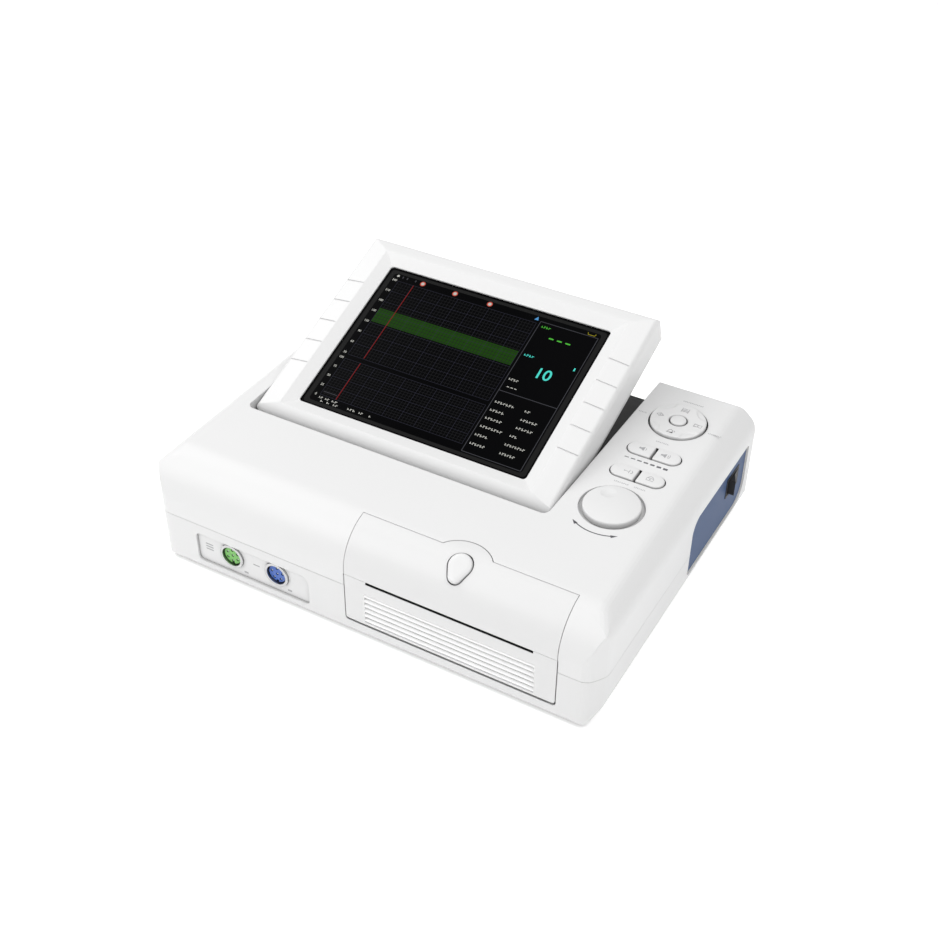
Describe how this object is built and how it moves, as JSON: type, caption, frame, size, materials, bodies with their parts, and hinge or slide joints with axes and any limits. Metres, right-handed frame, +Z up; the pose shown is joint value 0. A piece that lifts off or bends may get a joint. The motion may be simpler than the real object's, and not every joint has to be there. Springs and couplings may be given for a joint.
{
  "type": "fetal monitor",
  "caption": "Low bench-top fetal monitor with a tilting display, a drop-down recorder door with a platen and latch, two transducer sockets, keys, a knob and a side mains switch.",
  "frame": {"origin": "centre of the whole part's footprint, on the surface that its feet stand on, with the display at its pictured tilt", "axes": "+X to the right as seen from the front, +Y from the front with the sockets and recorder door to the rear, +Z up"},
  "size_m": [0.3334, 0.258, 0.1372],
  "materials": {
    "case_plastic": "warm white, fine texture, satin",
    "key_plastic": "white, satin",
    "screen_glass": "black, glossy",
    "blue_panel": "slate blue, satin",
    "black_plastic": "black, satin",
    "rubber": "dark grey, matte",
    "silicone": "pale grey, matte",
    "green_plastic": "green, glossy",
    "blue_plastic": "blue, glossy",
    "steel": "plain",
    "aluminium": "satin",
    "motor_paint": "black, satin",
    "brass": "satin",
    "circuit_board": "green solder mask",
    "battery_wrap": "blue-grey film",
    "inner_plastic": "light grey",
    "gear_plastic": "natural, satin"
  },
  "bodies": {
    "base": {"lower_shell": "case_plastic", "upper_shell": "case_plastic", "rubber_feet": "rubber", "case_screws": "steel", "connector_plate": "case_plastic", "socket_shells": "steel", "green_socket": "green_plastic", "blue_socket": "blue_plastic", "side_panel": "blue_panel", "switch_body": "black_plastic", "mains_inlet": "black_plastic", "power_supply": "circuit_board", "battery_pack": "battery_wrap", "main_board": "circuit_board", "signal_board": "circuit_board", "loudspeaker": "black_plastic", "key_board": "circuit_board", "key_mat": "silicone", "encoder": "steel", "hinge_brackets": "steel", "hinge_pins": "steel", "paper_tray": "inner_plastic", "head_bracket": "steel", "head_springs": "steel", "drive_bracket": "steel", "stepper_motor": "motor_paint", "idler_axle": "steel", "latch_strike": "steel"},
    "display": {"display_bezel": "case_plastic", "display_back": "case_plastic", "display_window": "screen_glass", "lcd_module": "aluminium", "display_board": "circuit_board", "display_screws": "steel", "hinge_leaves": "steel"},
    "switch_rocker": {"switch_rocker": "black_plastic"},
    "knob": {"control_knob": "key_plastic", "encoder_shaft": "steel"},
    "event_key": {"event_key": "key_plastic"},
    "lock_key": {"lock_key": "key_plastic"},
    "quieter_key": {"quieter_key": "key_plastic"},
    "louder_key": {"louder_key": "key_plastic"},
    "nav_gimbal": {"nav_carrier": "inner_plastic"},
    "nav_ring": {"nav_ring": "key_plastic"},
    "nav_button": {"nav_button": "key_plastic"},
    "print_head": {"print_head": "aluminium"},
    "idler": {"idler_gear": "gear_plastic"},
    "pinion": {"motor_pinion": "brass"},
    "door": {"door_cover": "case_plastic", "door_panel": "case_plastic", "door_frame": "inner_plastic", "door_hinge_pins": "steel", "platen_bushes": "brass", "latch_pin": "steel", "latch_spring": "steel"},
    "platen": {"platen_shaft": "steel", "platen_roller": "rubber", "platen_gear": "gear_plastic"},
    "latch_button": {"latch_button": "key_plastic"},
    "latch_hook": {"latch_hook": "steel"}
  },
  "joints": [
    {"name": "display_tilt", "type": "hinge", "parent": "base", "child": "display", "pos_m": [-0.02855, -0.02832, 0.07192], "axis": [1, 0, 0], "range_deg": [-16.5, 41]},
    {"name": "door_swing", "type": "hinge", "parent": "base", "child": "door", "pos_m": [0.0612, -0.12536, 0.015], "axis": [1, 0, 0], "range_deg": [0, 70]},
    {"name": "platen_turn", "type": "hinge", "parent": "door", "child": "platen", "pos_m": [0.0612, -0.11496, 0.04], "axis": [1, 0, 0], "continuous": true},
    {"name": "idler_turn", "type": "hinge", "parent": "base", "child": "idler", "pos_m": [0.1244, -0.09495, 0.03167], "axis": [1, 0, 0], "continuous": true},
    {"name": "pinion_turn", "type": "hinge", "parent": "base", "child": "pinion", "pos_m": [0.1244, -0.07727, 0.03167], "axis": [1, 0, 0], "continuous": true},
    {"name": "latch_press", "type": "slide", "parent": "door", "child": "latch_button", "axis": [0, 0.5225, -0.8526], "range_m": [0, 0.0015], "stiffness_N_per_m": 900, "springref_m": -0.0006},
    {"name": "latch_turn", "type": "hinge", "parent": "door", "child": "latch_hook", "pos_m": [0.0613, -0.10096, 0.07], "axis": [1, 0, 0], "range_deg": [0, 11.2]},
    {"name": "knob_turn", "type": "hinge", "parent": "base", "child": "knob", "pos_m": [0.1186, -0.02376, 0.08318], "axis": [0, -0.0226, 0.9997], "continuous": true},
    {"name": "event_key_press", "type": "slide", "parent": "base", "child": "event_key", "axis": [0, 0.0226, -0.9997], "range_m": [0, 0.001], "stiffness_N_per_m": 900, "springref_m": -0.0006},
    {"name": "lock_key_press", "type": "slide", "parent": "base", "child": "lock_key", "axis": [0, 0.0226, -0.9997], "range_m": [0, 0.001], "stiffness_N_per_m": 900, "springref_m": -0.0006},
    {"name": "quieter_key_press", "type": "slide", "parent": "base", "child": "quieter_key", "axis": [0, 0.0226, -0.9997], "range_m": [0, 0.001], "stiffness_N_per_m": 900, "springref_m": -0.0006},
    {"name": "louder_key_press", "type": "slide", "parent": "base", "child": "louder_key", "axis": [0, 0.0226, -0.9997], "range_m": [0, 0.001], "stiffness_N_per_m": 900, "springref_m": -0.0006},
    {"name": "nav_pitch", "type": "hinge", "parent": "base", "child": "nav_gimbal", "pos_m": [0.12, 0.07816, 0.08008], "axis": [1, 0, 0], "range_deg": [-2.5, 2.5], "stiffness_Nm_per_rad": 0.6},
    {"name": "nav_roll", "type": "hinge", "parent": "nav_gimbal", "child": "nav_ring", "pos_m": [0.12, 0.07816, 0.08008], "axis": [0, 0.9997, 0.0226], "range_deg": [-2.5, 2.5], "stiffness_Nm_per_rad": 0.6},
    {"name": "nav_button_press", "type": "slide", "parent": "base", "child": "nav_button", "axis": [0, 0.0226, -0.9997], "range_m": [0, 0.001], "stiffness_N_per_m": 900, "springref_m": -0.0006},
    {"name": "switch_rock", "type": "hinge", "parent": "base", "child": "switch_rocker", "pos_m": [0.1603, 0.08074, 0.0499], "axis": [0, 0, -1], "range_deg": [0, 30]},
    {"name": "head_rock", "type": "hinge", "parent": "base", "child": "print_head", "pos_m": [0.0612, -0.10196, 0.033], "axis": [-1, 0, 0], "range_deg": [0, 2], "stiffness_Nm_per_rad": 4, "springref_deg": -1.72}
  ],
  "couplings": [
    {"joint": "idler_turn", "follows": "platen_turn", "ratio": -0.8},
    {"joint": "pinion_turn", "follows": "platen_turn", "ratio": 1.7143},
    {"joint": "latch_turn", "follows": "latch_press", "rad_per_m": 123.7}
  ]
}
